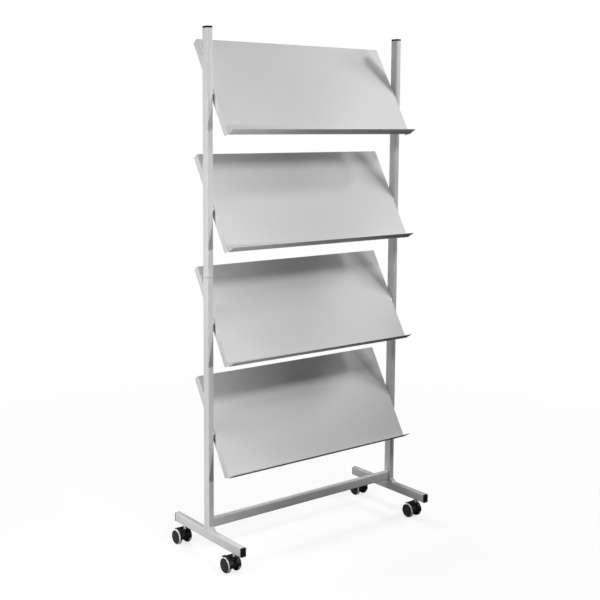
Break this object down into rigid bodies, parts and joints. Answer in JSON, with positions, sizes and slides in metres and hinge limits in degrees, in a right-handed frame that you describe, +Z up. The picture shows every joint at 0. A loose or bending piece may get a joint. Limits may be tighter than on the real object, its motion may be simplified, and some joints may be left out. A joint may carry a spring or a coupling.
{
  "type": "periodical display rack",
  "caption": "Mobile display rack for periodicals: sloping sheet-metal shelves with front lips, bolted between tube uprights on feet with swivel castors.",
  "frame": {"origin": "on the floor, under the middle of the rack", "axes": "+Z up; +X to the right of someone facing the rack, along the shelves; -Y out of the front, the side the shelves face"},
  "size_m": [0.8412, 0.402, 1.7],
  "materials": {
    "coated_steel": "light silver-grey powder coat, satin",
    "bare_steel": "zinc-plated steel",
    "black_plastic": "black moulded plastic",
    "wheel_plastic": "dark grey hub with a pale grey soft tread"
  },
  "bodies": {
    "frame": {"foot_left": "coated_steel", "foot_right": "coated_steel", "upright_lower_left": "coated_steel", "upright_lower_right": "coated_steel", "upright_upper_left": "coated_steel", "upright_upper_right": "coated_steel", "bar_plate_left": "coated_steel", "bar_plate_right": "coated_steel", "cross_bar": "coated_steel", "shelf_1": "coated_steel", "shelf_2": "coated_steel", "shelf_3": "coated_steel", "shelf_4": "coated_steel", "upright_sleeve_left": "bare_steel", "upright_sleeve_right": "bare_steel", "bar_screw_left_lower": "bare_steel", "bar_screw_left_upper": "bare_steel", "bar_screw_right_lower": "bare_steel", "bar_screw_right_upper": "bare_steel", "shelf_fixing_1_left": "bare_steel", "shelf_fixing_1_right": "bare_steel", "shelf_fixing_2_left": "bare_steel", "shelf_fixing_2_right": "bare_steel", "shelf_fixing_3_left": "bare_steel", "shelf_fixing_3_right": "bare_steel", "shelf_fixing_4_left": "bare_steel", "shelf_fixing_4_right": "bare_steel", "castor_stem_front_left": "bare_steel", "castor_stem_front_right": "bare_steel", "castor_stem_rear_left": "bare_steel", "castor_stem_rear_right": "bare_steel", "foot_plug_left_front": "black_plastic", "foot_plug_left_rear": "black_plastic", "foot_plug_right_front": "black_plastic", "foot_plug_right_rear": "black_plastic", "upright_cap_left": "black_plastic", "upright_cap_right": "black_plastic"},
    "swivel_front_left": {"castor_hood_front_left": "black_plastic", "castor_axle_front_left": "bare_steel"},
    "wheel_front_left_outer": {"wheel_front_left_outer": "wheel_plastic"},
    "wheel_front_left_inner": {"wheel_front_left_inner": "wheel_plastic"},
    "brake_front_left": {"brake_pedal_front_left": "black_plastic"},
    "swivel_front_right": {"castor_hood_front_right": "black_plastic", "castor_axle_front_right": "bare_steel"},
    "wheel_front_right_outer": {"wheel_front_right_outer": "wheel_plastic"},
    "wheel_front_right_inner": {"wheel_front_right_inner": "wheel_plastic"},
    "swivel_rear_left": {"castor_hood_rear_left": "black_plastic", "castor_axle_rear_left": "bare_steel"},
    "wheel_rear_left_outer": {"wheel_rear_left_outer": "wheel_plastic"},
    "wheel_rear_left_inner": {"wheel_rear_left_inner": "wheel_plastic"},
    "swivel_rear_right": {"castor_hood_rear_right": "black_plastic", "castor_axle_rear_right": "bare_steel"},
    "wheel_rear_right_outer": {"wheel_rear_right_outer": "wheel_plastic"},
    "wheel_rear_right_inner": {"wheel_rear_right_inner": "wheel_plastic"},
    "brake_rear_right": {"brake_pedal_rear_right": "black_plastic"}
  },
  "joints": [
    {"name": "swivel_front_left_turn", "type": "hinge", "parent": "frame", "child": "swivel_front_left", "pos_m": [-0.395, -0.145, 0.05], "axis": [0, 0, 1], "continuous": true},
    {"name": "wheel_front_left_outer_roll", "type": "hinge", "parent": "swivel_front_left", "child": "wheel_front_left_outer", "pos_m": [-0.414, -0.124, 0.025], "axis": [1, 0, 0], "continuous": true},
    {"name": "wheel_front_left_inner_roll", "type": "hinge", "parent": "swivel_front_left", "child": "wheel_front_left_inner", "pos_m": [-0.376, -0.124, 0.025], "axis": [1, 0, 0], "continuous": true},
    {"name": "brake_front_left_tip", "type": "hinge", "parent": "swivel_front_left", "child": "brake_front_left", "pos_m": [-0.395, -0.111, 0.04], "axis": [1, 0, 0], "range_deg": [-14, 0]},
    {"name": "swivel_front_right_turn", "type": "hinge", "parent": "frame", "child": "swivel_front_right", "pos_m": [0.395, -0.145, 0.05], "axis": [0, 0, 1], "continuous": true},
    {"name": "wheel_front_right_outer_roll", "type": "hinge", "parent": "swivel_front_right", "child": "wheel_front_right_outer", "pos_m": [0.414, -0.124, 0.025], "axis": [1, 0, 0], "continuous": true},
    {"name": "wheel_front_right_inner_roll", "type": "hinge", "parent": "swivel_front_right", "child": "wheel_front_right_inner", "pos_m": [0.376, -0.124, 0.025], "axis": [1, 0, 0], "continuous": true},
    {"name": "swivel_rear_left_turn", "type": "hinge", "parent": "frame", "child": "swivel_rear_left", "pos_m": [-0.395, 0.145, 0.05], "axis": [0, 0, 1], "continuous": true},
    {"name": "wheel_rear_left_outer_roll", "type": "hinge", "parent": "swivel_rear_left", "child": "wheel_rear_left_outer", "pos_m": [-0.414, 0.166, 0.025], "axis": [1, 0, 0], "continuous": true},
    {"name": "wheel_rear_left_inner_roll", "type": "hinge", "parent": "swivel_rear_left", "child": "wheel_rear_left_inner", "pos_m": [-0.376, 0.166, 0.025], "axis": [1, 0, 0], "continuous": true},
    {"name": "swivel_rear_right_turn", "type": "hinge", "parent": "frame", "child": "swivel_rear_right", "pos_m": [0.395, 0.145, 0.05], "axis": [0, 0, 1], "continuous": true},
    {"name": "wheel_rear_right_outer_roll", "type": "hinge", "parent": "swivel_rear_right", "child": "wheel_rear_right_outer", "pos_m": [0.414, 0.166, 0.025], "axis": [1, 0, 0], "continuous": true},
    {"name": "wheel_rear_right_inner_roll", "type": "hinge", "parent": "swivel_rear_right", "child": "wheel_rear_right_inner", "pos_m": [0.376, 0.166, 0.025], "axis": [1, 0, 0], "continuous": true},
    {"name": "brake_rear_right_tip", "type": "hinge", "parent": "swivel_rear_right", "child": "brake_rear_right", "pos_m": [0.395, 0.179, 0.04], "axis": [1, 0, 0], "range_deg": [-14, 0]}
  ]
}
